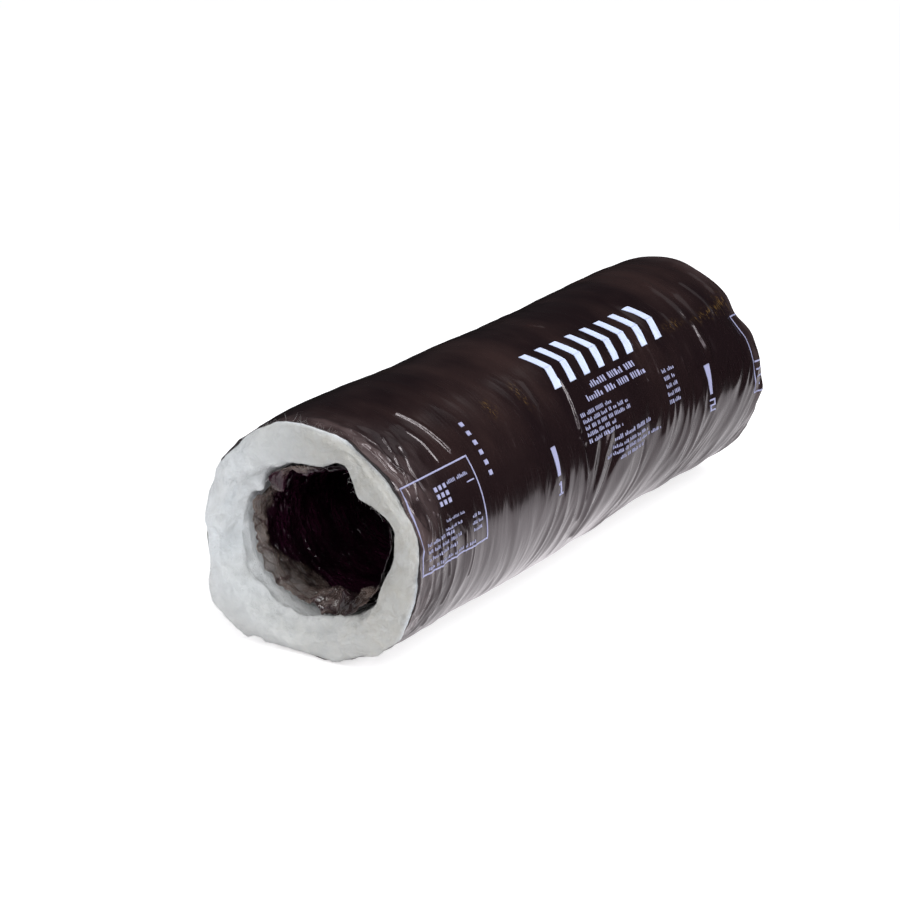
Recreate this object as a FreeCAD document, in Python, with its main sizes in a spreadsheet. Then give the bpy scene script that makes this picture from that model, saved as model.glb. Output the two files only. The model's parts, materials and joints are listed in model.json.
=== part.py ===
import FreeCAD, Part
import math
import os
from FreeCAD import Vector

# An insulated flexible air duct lying on a floor: a two-ply film core round a wire helix,
# a thick wool blanket and a gathered outer jacket. X runs along the duct, the front mouth is at -X,
# +Z is up, and the origin is on the floor under the middle of the duct. Millimetres and degrees.

# Driving dimensions
sizes = {
    # length of the whole duct, and how far back the jacket's two rims are from its ends
    "duct_length": 700.0,
    "front_rim_setback": 18.0,
    "rear_rim_setback": 10.0,
    # the sagging oval of the jacket, measured at the crest of its gathers
    "jacket_half_width": 125.0,
    "jacket_half_height": 120.0,
    "axis_height": 116.0,
    "jacket_film": 0.6,
    "floor_cut": 0.5,
    "gather_count": 26.0,
    "gather_depth": 1.6,
    # shares: a crest's and a rim's depth against a valley's, and how far places and depths stray
    "crest_share": 0.15,
    "rim_share": 0.6,
    "place_stray": 0.16,
    "depth_stray": 0.25,
    "waist_depth": 2.4,
    "waist_place": 120.0,
    "waist_reach": 150.0,
    # blanket
    "blanket_gap": 0.3,
    "blanket_hole": 81.0,
    "lip_swell": 1.2,
    "lip_round": 17.0,
    "mouth_flare": 8.0,
    # core
    "core_setback": 5.0,
    "core_bore": 76.5,
    "core_film": 0.5,
    "cuff_length": 55.0,
    "rib_pitch": 20.0,
    "rib_depth": 1.3,
    "outer_film_bore": 78.9,
    "wire_diameter": 1.3,
    "wire_radius": 77.9,
    "wire_pitch": 20.0,
    "wire_setback": 33.0,
    # where the duct is divided: front length, bend zone, middle, gather zone, rear length
    "front_end": -195.0,
    "bend_zone_end": -75.0,
    "middle_end": 25.0,
    "gather_zone_end": 195.0,
}

doc = FreeCAD.newDocument("flexible_air_duct")
sheet = doc.addObject("Spreadsheet::Sheet", "Sizes")
for row, (alias, value) in enumerate(sizes.items(), start=1):
    sheet.set("A%d" % row, alias)
    sheet.set("B%d" % row, str(value))
    sheet.setAlias("B%d" % row, alias)
doc.recompute()


def size(alias):
    """A driving dimension, read back from the sheet."""
    return float(sheet.get(alias))


def form(name, shape):
    """A helper form whose shape is worked out from the sheet's values."""
    made = doc.addObject("Part::Feature", name)
    made.Shape = shape
    return made


# Plain helper primitives, bound to the sheet

def zone_box(name, start, end):
    """A box over the floor round one length of the duct, from one formula of the sheet to
    another along X. Its own floor face cuts the jacket flat."""
    box = doc.addObject("Part::Box", name)
    box.setExpression("Length", "(%s) - (%s)" % (end, start))
    box.setExpression("Width", "4 * Sizes.jacket_half_width")
    box.setExpression("Height", "4 * Sizes.jacket_half_height")
    box.setExpression("Placement.Base.x", start)
    box.setExpression("Placement.Base.y", "-2 * Sizes.jacket_half_width")
    return box


def cut(name, base, tool):
    made = doc.addObject("Part::Cut", name)
    made.Base = base
    made.Tool = tool
    return made


def common(name, base, tool):
    made = doc.addObject("Part::Common", name)
    made.Base = base
    made.Tool = tool
    return made


# Section curves

half_length = size("duct_length") / 2
axis_height = size("axis_height")
front_rim = -half_length + size("front_rim_setback")
rear_rim = half_length - size("rear_rim_setback")
core_front = -half_length + size("core_setback")
core_rear = half_length - size("core_setback")
along = Vector(1, 0, 0)


def oval(x, half_width, half_height, floor):
    """A closed profile square to the duct: an oval wider than it is high, cut flat at a floor
    level. Where the oval ends above the floor, a narrow flat near its foot takes that place."""
    arcs = 6
    narrowest_flat = 0.985
    low = -math.asin(min(narrowest_flat, (axis_height - floor) / half_height))
    step = (math.pi - 2 * low) / (2 * arcs)
    points = []
    for k in range(2 * arcs + 1):
        angle = low + k * step
        across = half_width * math.cos(angle)
        up = half_height * math.sin(angle)
        points.append(Vector(x, across, axis_height + up))
    edges = []
    for k in range(0, 2 * arcs, 2):
        edges.append(Part.Arc(points[k], points[k + 1], points[k + 2]).toShape())
    edges.append(Part.makeLine(points[-1], points[0]))
    return Part.Wire(edges)


def ring(x, radius):
    """A circle round the duct's axis."""
    return Part.Wire([Part.makeCircle(radius, Vector(x, 0, axis_height), along)])


def taken_in(x):
    """How far the jacket is drawn in at x by its one broad waist behind the middle."""
    away = (x - size("waist_place")) / size("waist_reach")
    return size("waist_depth") * math.exp(-away * away)


def gather_sections():
    """(x, depth) of the crests and valleys of the jacket's gathers, from rim to rim. Their places
    and depths stray along the duct, as those of hand-gathered film do."""
    count = int(size("gather_count"))
    pitch = (rear_rim - front_rim) / count
    deepest = size("gather_depth")
    found = [(front_rim, deepest * size("rim_share"))]
    for n in range(count):
        start = front_rim + n * pitch
        valley = start + pitch * (0.5 + size("place_stray") * math.sin(2.3 * n))
        depth = deepest * (1 - size("depth_stray") * (1 - math.sin(1.7 * n + 0.6)))
        found.append((valley, depth))
        if n < count - 1:
            found.append((start + pitch, deepest * size("crest_share")))
    found.append((rear_rim, deepest * size("rim_share")))
    return found


def gathered_sections(inward):
    """(x, half width, half height) of every gather, inward of the jacket's outside by that much."""
    found = []
    for x, depth in gather_sections():
        drawn_in = depth + taken_in(x) + inward
        half_width = size("jacket_half_width") - drawn_in
        half_height = size("jacket_half_height") - drawn_in
        found.append((x, half_width, half_height))
    return found


def oval_form(sections, floor):
    """A ruled loft through ovals that share one floor level."""
    return Part.makeLoft([oval(*section, floor) for section in sections], True, True)


def ruled_tube(stations, inner_offset):
    """A thin tube through (x, radius) stations of its inner wall."""
    outside = Part.makeLoft([ring(x, r + inner_offset) for x, r in stations], True, True)
    inside = Part.makeLoft([ring(x, r) for x, r in stations], True, True)
    return outside.cut(inside)


# Jacket: a gathered film sleeve that reaches just below the floor, until its lengths are cut

jacket_outside = form(
    "jacket_outside_form", oval_form(gathered_sections(0.0), -size("floor_cut"))
)
jacket_inside = form(
    "jacket_inside_form", oval_form(gathered_sections(size("jacket_film")), size("jacket_film"))
)
jacket = cut("jacket_whole", jacket_outside, jacket_inside)

# Blanket: wool between the core and the jacket, swelling out past both of the jacket's rims


def lip(rim, way, reach):
    """The sections of one soft swollen lip, from just past the jacket's rim to the end face. The
    lip turns in as a rounded corner does, slowly at first."""
    shares = (0.04, 0.30, 0.56, 0.80, 1.0)
    fullness = 2.4
    width = size("jacket_half_width") - taken_in(rim) + size("lip_swell")
    height = size("jacket_half_height") - taken_in(rim) + size("lip_swell")
    sections = []
    for share in shares:
        drawn_in = size("lip_round") * (1 - math.sqrt(1 - share ** fullness))
        sections.append((rim + way * reach * share, width - drawn_in, height - drawn_in))
    return sections


def blanket_outside_form():
    inward = size("jacket_film") + size("blanket_gap")
    body = gathered_sections(inward)
    # the wool runs straight out through each rim before it swells
    past_rim = 0.3
    front = lip(front_rim, -1, size("front_rim_setback"))
    rear = lip(rear_rim, 1, size("rear_rim_setback"))
    sections = front[::-1]
    sections.append((front_rim - past_rim, *body[0][1:]))
    sections += body[1:-1]
    sections.append((rear_rim + past_rim, *body[-1][1:]))
    sections += rear
    return oval_form(sections, inward)


def blanket_hole_form():
    """The hole round the core, rounded open at both mouths."""
    hole, flare = size("blanket_hole"), size("mouth_flare")
    beyond = 1.0
    # (share of the flare's depth, share of its width), from past the mouth to the plain hole
    rounding = [(0, 1), (0.6, 0.35), (1.6, 0)]
    stations = [(-half_length - beyond, hole + flare)]
    stations += [(-half_length + deep * flare, hole + wide * flare) for deep, wide in rounding]
    stations += [(half_length - deep * flare, hole + wide * flare) for deep, wide in rounding[::-1]]
    stations.append((half_length + beyond, hole + flare))
    return Part.makeLoft([ring(x, r) for x, r in stations], True, True)


blanket_outside = form("blanket_outside_form", blanket_outside_form())
blanket_hole = form("blanket_hole_form", blanket_hole_form())
blanket = cut("blanket_whole", blanket_outside, blanket_hole)

# Core films: plain cuffs at both mouths, and between them the film sags in from turn to turn


def film_stations(bore):
    """(x, radius) of a film's inner wall: four circles to each rib between the two cuffs."""
    depth = size("rib_depth")
    # where a rib leaves the wire, reaches its full depth, starts back and meets the next turn
    rib = [(0.08, 0), (0.34, depth), (0.66, depth), (0.92, 0)]
    first, last = core_front + size("cuff_length"), core_rear - size("cuff_length")
    count = int(round((last - first) / size("rib_pitch")))
    pitch = (last - first) / count
    stations = [(core_front, bore)]
    for n in range(count):
        start = first + n * pitch
        stations += [(start + share * pitch, bore - sunk) for share, sunk in rib]
    stations.append((core_rear, bore))
    return stations


inner_film = form(
    "inner_film_form", ruled_tube(film_stations(size("core_bore")), size("core_film"))
)
outer_film = form(
    "outer_film_form",
    ruled_tube(film_stations(size("outer_film_bore") + size("rib_depth")), size("core_film")),
)

# Wire: one helix, made of biarcs of a quarter turn, cut square where the duct is divided

wire_front = core_front + size("wire_setback")
wire_rear = core_rear - size("wire_setback")


def helix_place(turn):
    """A point of the wire's centreline and the wire's direction there, turns being counted from
    its front end."""
    angle = 2 * math.pi * turn
    radius, pitch = size("wire_radius"), size("wire_pitch")
    place = Vector(
        wire_front + pitch * turn,
        radius * math.cos(angle),
        axis_height + radius * math.sin(angle),
    )
    heading = Vector(
        pitch, -2 * math.pi * radius * math.sin(angle), 2 * math.pi * radius * math.cos(angle)
    )
    return place, heading.normalize()


def arc_from(start, heading, end):
    """The arc that leaves start along heading and passes through end."""
    chord = end - start
    half = chord.Length / 2
    apex_side = heading - chord * (heading.dot(chord) / chord.dot(chord))
    turn = heading.getAngle(chord)
    middle = start + chord * 0.5 + apex_side.normalize() * (half * math.tan(turn / 2))
    return Part.Arc(start, middle, end).toShape()


def biarc(start, start_heading, end, end_heading):
    """Two arcs that leave one point and reach the other along the given headings."""
    across = end - start
    both = start_heading + end_heading
    spread = 2 * (1 - start_heading.dot(end_heading))
    along_both = across.dot(both)
    reach = (-along_both + math.sqrt(along_both ** 2 + spread * across.dot(across))) / spread
    joint = (start + end + (start_heading - end_heading) * reach) * 0.5
    apex = start + start_heading * reach
    joint_heading = (joint - apex).normalize()
    return [arc_from(start, start_heading, joint), arc_from(joint, joint_heading, end)]


def wire_between(first_turn, last_turn):
    """The wire from one turn count to another, as one unbroken tube."""
    quarters = max(1, int(round((last_turn - first_turn) * 4)))
    step = (last_turn - first_turn) / quarters
    edges = []
    for n in range(quarters):
        place, heading = helix_place(first_turn + n * step)
        next_place, next_heading = helix_place(first_turn + (n + 1) * step)
        edges += biarc(place, heading, next_place, next_heading)
    place, heading = helix_place(first_turn)
    section = Part.Wire([Part.makeCircle(size("wire_diameter") / 2, place, heading)])
    return Part.Wire(edges).makePipeShell([section], True, False)


def turn_at(x):
    """How many turns the wire has made when its centreline passes x."""
    return (x - wire_front) / size("wire_pitch")


# The duct's five lengths, each a set of named pieces

limits = ["front_end", "bend_zone_end", "middle_end", "gather_zone_end"]
cuts = ["-1 * Sizes.duct_length"]
cuts += ["Sizes.%s" % limit for limit in limits]
cuts.append("Sizes.duct_length")
wire_ends = [wire_front]
wire_ends += [size(limit) for limit in limits]
wire_ends.append(wire_rear)
lengths = ["front", "bend_zone", "middle", "gather_zone", "rear"]
layers = {
    "jacket": jacket,
    "blanket": blanket,
    "outer_film": outer_film,
    "inner_film": inner_film,
}

pieces = []
for n, length in enumerate(lengths):
    for layer, whole in layers.items():
        zone = zone_box("%s_%s_zone" % (layer, length), cuts[n], cuts[n + 1])
        piece = common("%s_%s" % (layer, length), whole, zone)
        piece.Label = "%s_%s" % (layer, length)
        pieces.append(piece)
    stretch = wire_between(turn_at(wire_ends[n]), turn_at(wire_ends[n + 1]))
    coil = form("wire_helix_%s" % length, stretch)
    coil.Label = "wire_helix_%s" % length
    pieces.append(coil)

doc.recompute()


# The wire's least gap to itself, on points a twelfth of a turn apart and over half a turn away

def least_gap():
    per_turn = 12
    count = int(turn_at(wire_ends[-1]) * per_turn)
    points = [helix_place(k / per_turn)[0] for k in range(count)]
    least = min(
        points[0].distanceToPoint(points[k]) for k in range(per_turn // 2, min(count, 4 * per_turn))
    )
    return least - size("wire_diameter")


# Every object sound, then one file for each piece

faults = [o.Name for o in doc.Objects if "Invalid" in o.State or "Error" in o.State]
for piece in pieces:
    shape = piece.Shape
    if shape.isNull() or not shape.isValid() or len(shape.Solids) != 1:
        faults.append("%s: %d solids" % (piece.Label, 0 if shape.isNull() else len(shape.Solids)))
if faults:
    raise SystemExit("unsound: %s" % ", ".join(faults))

os.makedirs("parts", exist_ok=True)
for piece in pieces:
    piece.Shape.exportStep("parts/%s.step" % piece.Label)
    print("%-24s %10.0f mm3" % (piece.Label, piece.Shape.Volume))
print("wire: %.1f turns, least gap to itself %.1f mm" % (turn_at(wire_ends[-1]), least_gap()))
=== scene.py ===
import json
import math

import bpy
import numpy as np
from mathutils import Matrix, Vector


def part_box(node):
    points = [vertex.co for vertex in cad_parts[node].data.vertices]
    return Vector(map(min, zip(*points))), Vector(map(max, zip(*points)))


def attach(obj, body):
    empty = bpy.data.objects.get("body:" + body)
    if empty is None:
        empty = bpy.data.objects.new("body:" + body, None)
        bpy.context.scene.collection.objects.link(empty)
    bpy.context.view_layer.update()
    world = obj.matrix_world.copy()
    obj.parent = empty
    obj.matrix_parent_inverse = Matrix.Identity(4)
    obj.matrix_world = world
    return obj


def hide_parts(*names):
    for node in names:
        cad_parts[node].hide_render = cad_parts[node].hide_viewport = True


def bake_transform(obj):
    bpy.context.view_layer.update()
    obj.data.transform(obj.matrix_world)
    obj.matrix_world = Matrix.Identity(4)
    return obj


# An insulated flexible air duct on a white floor. Metres. X runs along the duct, front mouth at -X.
# Settings give angles round the duct in degrees, and functions take them in radians: 0 is the +Y
# side, 90 degrees is the top and 180 the -Y side.

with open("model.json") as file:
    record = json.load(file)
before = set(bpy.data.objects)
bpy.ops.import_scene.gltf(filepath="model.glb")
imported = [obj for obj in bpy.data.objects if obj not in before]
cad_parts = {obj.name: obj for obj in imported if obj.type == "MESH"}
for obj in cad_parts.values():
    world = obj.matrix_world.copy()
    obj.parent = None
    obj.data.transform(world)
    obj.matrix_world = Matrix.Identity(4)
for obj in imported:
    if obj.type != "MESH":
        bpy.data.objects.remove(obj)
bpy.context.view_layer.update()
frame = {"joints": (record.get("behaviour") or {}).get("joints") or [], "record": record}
print("frame loaded")

# What the frame says about the duct

mounts = {mount["name"]: mount for mount in frame["record"]["mounts"]}
joints = {joint["name"]: joint for joint in frame["joints"]}
jacketLow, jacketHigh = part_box("jacket_front")
filmLow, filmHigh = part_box("outer_film_front")
axisHeight = mounts["front_collar"]["pos_m"][2]
coreRadius = mounts["front_collar"]["dims"]["r_mm"] / 1000
halfWidth = (jacketHigh[1] - jacketLow[1]) / 2
halfHeight = jacketHigh[2] - axisHeight
frontRim = jacketLow[0]
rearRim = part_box("jacket_rear")[1][0]
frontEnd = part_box("blanket_front")[0][0]
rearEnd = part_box("blanket_rear")[1][0]
coreFront = filmLow[0]
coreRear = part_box("outer_film_rear")[1][0]
outerFilmRadius = (filmHigh[1] - filmLow[1]) / 2
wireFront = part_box("wire_helix_front")[0][0]
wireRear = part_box("wire_helix_rear")[1][0]
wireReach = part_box("wire_helix_middle")[1][1]

# Each layer is four pieces, one to a joint. Each span names the joint's two bodies.
bendPlace = joints["bend_sideways"]["pos_m"][0]
liftPlace = joints["bend_upward"]["pos_m"][0]
bendReach = 0.1
firstCut = bendPlace - bendReach
secondCut = bendPlace + bendReach
thirdCut = liftPlace - bendReach
spans = [
    {"name": "Mouth", "from": frontEnd, "to": firstCut, "bodies": ("front_sleeve", "front_core")},
    {"name": "Bend", "from": firstCut, "to": secondCut, "bodies": ("front_core", "middle")},
    {"name": "Waist", "from": secondCut, "to": thirdCut, "bodies": ("middle", "gather_zone")},
    {"name": "Tail", "from": thirdCut, "to": rearEnd, "bodies": ("gather_zone", "rear_length")},
]


def followSpan(piece):
    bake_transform(piece)


# Number helpers

# The seed of each form's random numbers. Where a form has layers, they take the next seeds too.
seeds = {
    "print": 5,
    "frontFibres": 7,
    "rearFibres": 8,
    "softFolds": 11,
    "slant": 21,
    "patch": 22,
    "sharpFolds": 31,
    "rimCrumples": 41,
    "frontLumps": 51,
    "rearLumps": 60,
    "filmEdge": 71,
    "crinkles": 81,
    "mouthCrumples": 91,
    "darkFolds": 95,
}


def noiseField(x, y, seed, around=256):
    # Smooth noise, about -1 to 1: every corner of a lattice tilts its own way and the tilts are
    # eased between corners. y comes round again after so many cells.
    period = 256
    angles = np.random.default_rng(seed).uniform(0, 2 * np.pi, (period, around))
    tiltX, tiltY = np.cos(angles), np.sin(angles)
    cellX, cellY = np.floor(x).astype(int), np.floor(y).astype(int)
    partX, partY = x - cellX, y - cellY

    def corner(stepX, stepY):
        i, j = (cellX + stepX) % period, (cellY + stepY) % around
        return tiltX[i, j] * (partX - stepX) + tiltY[i, j] * (partY - stepY)

    easeX = partX**3 * (partX * (6 * partX - 15) + 10)
    easeY = partY**3 * (partY * (6 * partY - 15) + 10)
    low = corner(0, 0) * (1 - easeX) + corner(1, 0) * easeX
    high = corner(0, 1) * (1 - easeX) + corner(1, 1) * easeX
    return 1.6 * (low * (1 - easeY) + high * easeY)


def streaks(x, angle, pitch, cells, seed, start=40):
    # Noise drawn out round the duct: pitch is its grain along the duct, cells the count round it.
    # The start only picks the stretch of noise.
    return noiseField(x / pitch + start, angle / (2 * np.pi) * cells, seed, cells)


def folds(x, angle, pitch, cells, seed):
    # The same with sharp crests and round valleys, as thin film folds: 1 on a crest.
    return 1 - 2 * np.abs(streaks(x, angle, pitch, cells, seed))


def smoothThrough(places, values, at, period=None):
    # A smooth curve through points: on each stretch a cubic whose slopes are those of its
    # neighbours' chords. With a period it closes on itself.
    places, values = np.array(places, float), np.array(values, float)
    if period:
        at = np.mod(at, period)
        places = np.concatenate([places[-2:] - period, places, places[:2] + period])
        values = np.concatenate([values[-2:], values, values[:2]])
    slopes = np.gradient(values, places)
    at = np.clip(at, places[0], places[-1])
    k = np.clip(np.searchsorted(places, at) - 1, 0, len(places) - 2)
    step = places[k + 1] - places[k]
    t = (at - places[k]) / step
    ahead = t * t * (3 - 2 * t)
    leave, arrive = t * (1 - t) ** 2, t * t * (1 - t)
    start, end = values[k], values[k + 1]
    return start * (1 - ahead) + end * ahead + step * (leave * slopes[k] - arrive * slopes[k + 1])


def ramp(low, high, value):
    # 0 at low, 1 at high, eased between; high may be the smaller of the two.
    t = np.clip((value - low) / (high - low), 0, 1)
    return t * t * (3 - 2 * t)


def bump(value, centre, reach):
    # A bell curve: 1 at the centre.
    return np.exp(-(((value - centre) / reach) ** 2))


def angleGap(angle, centre):
    # The way round from a centre in degrees to angles in radians, in degrees from -180 to 180.
    return (np.degrees(angle) - centre + 180) % 360 - 180


def angleBump(angle, centre, spread):
    # The same bell curve round the duct, about a centre in degrees.
    return bump(angleGap(angle, centre), 0, spread)


def layeredFolds(x, angle, layers, seed, level):
    # Folds of several sizes added up. Each layer is (grain, cells round it, height), and the level
    # is where folds, from -1 in a valley to 1 on a crest, count as no height.
    total = 0
    for n, (pitch, cells, height) in enumerate(layers):
        total = total + height * (folds(x, angle, pitch, cells, seed + n) - level)
    return total


def wavesRound(angle, waves):
    # Sines round the duct added up: each wave is (height, count round, turn in radians).
    return sum(height * np.sin(count * angle + turn) for height, count, turn in waves)


def tubePoints(x, angle, radius):
    # Points at a radius from the duct's axis.
    x, angle, radius = np.broadcast_arrays(x, angle, radius)
    return np.stack([x, radius * np.cos(angle), axisHeight + radius * np.sin(angle)], axis=-1)


# Mesh helpers

def addObject(name, data):
    thing = bpy.data.objects.new(name, data)
    bpy.context.scene.collection.objects.link(thing)
    return thing


def gridFaces(rows, columns, closeRows, closeColumns):
    i = np.arange(rows if closeRows else rows - 1)
    j = np.arange(columns if closeColumns else columns - 1)
    i, j = np.meshgrid(i, j, indexing="ij")
    nextI, nextJ = (i + 1) % rows, (j + 1) % columns
    corners = [i * columns + j, i * columns + nextJ, nextI * columns + nextJ, nextI * columns + j]
    return np.stack(corners, axis=-1).reshape(-1, 4)


def makePiece(name, points, faces, material):
    # One mesh object from points and arrays of faces, each array with its own count of corners.
    # The points' places at rest are kept in an attribute, so that patterns stay on a bent piece.
    mesh = bpy.data.meshes.new(name)
    points = np.asarray(points, np.float32).reshape(-1, 3)
    groups = [np.asarray(group, np.int32) for group in (faces if isinstance(faces, list) else [faces])]
    sizes = np.concatenate([np.full(len(group), group.shape[1], np.int32) for group in groups])
    mesh.vertices.add(len(points))
    mesh.vertices.foreach_set("co", points.ravel())
    mesh.loops.add(int(sizes.sum()))
    mesh.loops.foreach_set("vertex_index", np.concatenate([group.ravel() for group in groups]))
    mesh.polygons.add(len(sizes))
    mesh.polygons.foreach_set("loop_start", (np.cumsum(sizes) - sizes).astype(np.int32))
    mesh.update(calc_edges=True)
    mesh.validate()
    rest = mesh.attributes.new("rest", "FLOAT_VECTOR", "POINT")
    rest.data.foreach_set("vector", points.ravel())
    mesh.materials.append(material)
    piece = addObject(name, mesh)
    return piece


def setShare(piece, name, values):
    # A number from 0 to 1 for each point, for the materials.
    attribute = piece.data.attributes.new(name, "FLOAT", "POINT")
    attribute.data.foreach_set("value", np.asarray(values, np.float32).ravel())


def sharpenRows(piece, columns, rows):
    # Keeps the shading of a cut end apart from the surface that meets it.
    mesh = piece.data
    ends = np.empty(len(mesh.edges) * 2, np.int32)
    mesh.edges.foreach_get("vertices", ends)
    rowOf = ends.reshape(-1, 2) // columns
    sharp = (rowOf[:, 0] == rowOf[:, 1]) & np.isin(rowOf[:, 0], rows)
    attribute = mesh.attributes.new("sharp_edge", "BOOLEAN", "EDGE")
    attribute.data.foreach_set("value", sharp)


def placesAlong(start, end, spacing):
    # Even places from start to end, with a close pair at each end, where pieces meet.
    count = max(2, int(round((end - start) / spacing)))
    even = np.linspace(start, end, count + 1)
    close = min(0.0002, spacing / 3)
    return np.concatenate([[start, start + close], even[1:-1], [end - close, end]])


def anglesRound(columns):
    return np.arange(columns) * 2 * np.pi / columns


def shellPiece(name, outer, inner, material):
    # A closed wall: its outer rows from front to rear, then its inner rows back again.
    rows = np.concatenate([outer, inner[::-1]])
    columns = rows.shape[1]
    piece = makePiece(name, rows, gridFaces(len(rows), columns, True, True), material)
    sharpenRows(piece, columns, [0, len(outer) - 1, len(outer), len(rows) - 1])
    return piece


# Material helpers

def newMaterial(name):
    material = bpy.data.materials.new(name)
    material.use_nodes = True
    tree = material.node_tree
    tree.nodes.clear()
    shader = tree.nodes.new("ShaderNodeBsdfPrincipled")
    output = tree.nodes.new("ShaderNodeOutputMaterial")
    tree.links.new(shader.outputs["BSDF"], output.inputs["Surface"])
    return material, tree, shader


def feed(tree, target, value):
    # A socket gets a link from another socket, or a plain value.
    if isinstance(value, bpy.types.NodeSocket):
        tree.links.new(value, target)
    else:
        target.default_value = value


def setSockets(tree, node, **inputs):
    for key, value in inputs.items():
        feed(tree, node.inputs[key.replace("_", " ")], value)


def addNode(tree, kind, settings=None, **inputs):
    node = tree.nodes.new(kind)
    for key, value in (settings or {}).items():
        setattr(node, key, value)
    setSockets(tree, node, **inputs)
    return node


def addMath(tree, operation, first, second=0.0):
    node = addNode(tree, "ShaderNodeMath", {"operation": operation})
    feed(tree, node.inputs[0], first)
    feed(tree, node.inputs[1], second)
    return node.outputs[0]


def addProduct(tree, first, *others):
    for other in others:
        first = addMath(tree, "MULTIPLY", first, other)
    return first


def addRange(tree, value, fromLow, fromHigh, toLow, toHigh):
    ends = {"From_Min": fromLow, "From_Max": fromHigh, "To_Min": toLow, "To_Max": toHigh}
    return addNode(tree, "ShaderNodeMapRange", Value=value, **ends).outputs["Result"]


def addMix(tree, share, first, second):
    node = addNode(tree, "ShaderNodeMix", {"data_type": "RGBA"}, Factor=share, A=first, B=second)
    return node.outputs["Result"]


def restPlace(tree, scale):
    # Where a point of the piece lay at rest, scaled, for a pattern that stays on the piece.
    attribute = addNode(tree, "ShaderNodeAttribute", {"attribute_name": "rest"})
    scaled = addNode(tree, "ShaderNodeVectorMath", {"operation": "MULTIPLY"})
    tree.links.new(attribute.outputs["Vector"], scaled.inputs[0])
    scaled.inputs[1].default_value = scale
    return scaled.outputs["Vector"]


def addAxes(tree):
    # The same place, unscaled, as its three numbers.
    return addNode(tree, "ShaderNodeSeparateXYZ", Vector=restPlace(tree, (1.0, 1.0, 1.0))).outputs


def addNoise(tree, scale, detail, distortion=0.0):
    # Noise over the piece, about 0.5, with a scale of its own for each axis.
    node = addNode(tree, "ShaderNodeTexNoise", Vector=restPlace(tree, scale), Scale=1.0)
    setSockets(tree, node, Detail=detail, Distortion=distortion)
    return node.outputs["Fac"]


def addShare(tree, name):
    # A share from 0 to 1 that was stored on the piece's points.
    return addNode(tree, "ShaderNodeAttribute", {"attribute_name": name}).outputs["Fac"]


def filmGrainGroup():
    # Fine creases of thin film: height and a mask of fine scuffs, drawn out round the duct.
    group = bpy.data.node_groups.new("FilmGrain", "ShaderNodeTree")
    for name, kind in (("Place", "NodeSocketVector"), ("Twist", "NodeSocketFloat")):
        group.interface.new_socket(name=name, in_out="INPUT", socket_type=kind)
    for name in ("Height", "Scuffs"):
        group.interface.new_socket(name=name, in_out="OUTPUT", socket_type="NodeSocketFloat")
    start = group.nodes.new("NodeGroupInput")
    end = group.nodes.new("NodeGroupOutput")
    place, twist = start.outputs["Place"], start.outputs["Twist"]
    wide = addNode(group, "ShaderNodeTexNoise", Vector=place, Scale=1.0, Detail=3.0, Distortion=twist)
    crest = addMath(group, "ABSOLUTE", addMath(group, "SUBTRACT", wide.outputs["Fac"], 0.5))
    fine = addNode(group, "ShaderNodeTexNoise", Vector=place, Scale=2.7, Detail=2.0)
    height = addMath(group, "ADD", crest, addProduct(group, fine.outputs["Fac"], 0.25))
    group.links.new(height, end.inputs["Height"])
    scuffs = addRange(group, fine.outputs["Fac"], 0.45, 0.75, 0.0, 1.0)
    group.links.new(scuffs, end.inputs["Scuffs"])
    return group


filmGrain = filmGrainGroup()


def addFilmGrain(tree, scale, twist):
    node = addNode(tree, "ShaderNodeGroup", {"node_tree": filmGrain})
    tree.links.new(restPlace(tree, scale), node.inputs["Place"])
    node.inputs["Twist"].default_value = twist
    return node


def addBump(tree, height, strength, distance):
    node = addNode(tree, "ShaderNodeBump", Height=height, Strength=strength, Distance=distance)
    return node.outputs["Normal"]


jacketLook = {
    "black": (0.010, 0.0050, 0.0060, 1),
    "brown": (0.032, 0.0175, 0.0165, 1),
    # painted glints: faint gold specks in a few patches
    "flecks": (0.13, 0.075, 0.022, 1),
    "overWool": (0.10, 0.072, 0.072, 1),
    # the heights (m) between which it turns from nearly black to brown
    "brownFrom": 0.165,
    "brownTo": 0.205,
    "roughness": (0.16, 0.3),
}


def jacketMaterial():
    look = jacketLook
    material, tree, shader = newMaterial("jacketFilm")
    grain = addFilmGrain(tree, (240.0, 16.0, 16.0), 0.6)
    upper = addRange(tree, addAxes(tree)["Z"], look["brownFrom"], look["brownTo"], 0.2, 1.0)
    cloud = addRange(tree, addNoise(tree, (13.0, 7.0, 7.0), 3.0), 0.38, 0.64, 0.0, 1.0)
    tint = addMix(tree, addProduct(tree, cloud, upper), look["black"], look["brown"])
    flecks = addRange(tree, addNoise(tree, (420.0, 160.0, 160.0), 4.0), 0.52, 0.66, 0.0, 1.0)
    # painted glints: gold specks where the noise is high inside the glint patches
    tint = addMix(tree, addProduct(tree, flecks, addShare(tree, "fleck")), tint, look["flecks"])
    setSockets(
        tree,
        shader,
        Base_Color=addMix(tree, addShare(tree, "pale"), tint, look["overWool"]),
        Roughness=addRange(tree, grain.outputs["Scuffs"], 0.0, 1.0, *look["roughness"]),
        Normal=addBump(tree, grain.outputs["Height"], 0.25, 0.0008),
        IOR=1.55,
        Specular_Tint=(1.0, 0.93, 0.97, 1),
    )
    return material


woolLook = {
    # painted light and shade: cool white to the lit +Y side, and a little warmer and darker to the -Y side
    # and above as painted shade
    "cool": (0.86, 0.90, 0.93, 1),
    "warm": (0.475, 0.465, 0.432, 1),
    "low": (0.74, 0.73, 0.685, 1),
    "clouds": (0.66, 0.65, 0.60, 1),
    # painted shade in the hollows between the tufts
    "tufts": (0.60, 0.62, 0.63, 1),
    # a painted highlight along the outer edge next to the jacket
    "tornEdge": (0.88, 0.93, 1.0, 1),
    # how far (m) light goes in the wool
    "glow": 0.014,
}


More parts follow.
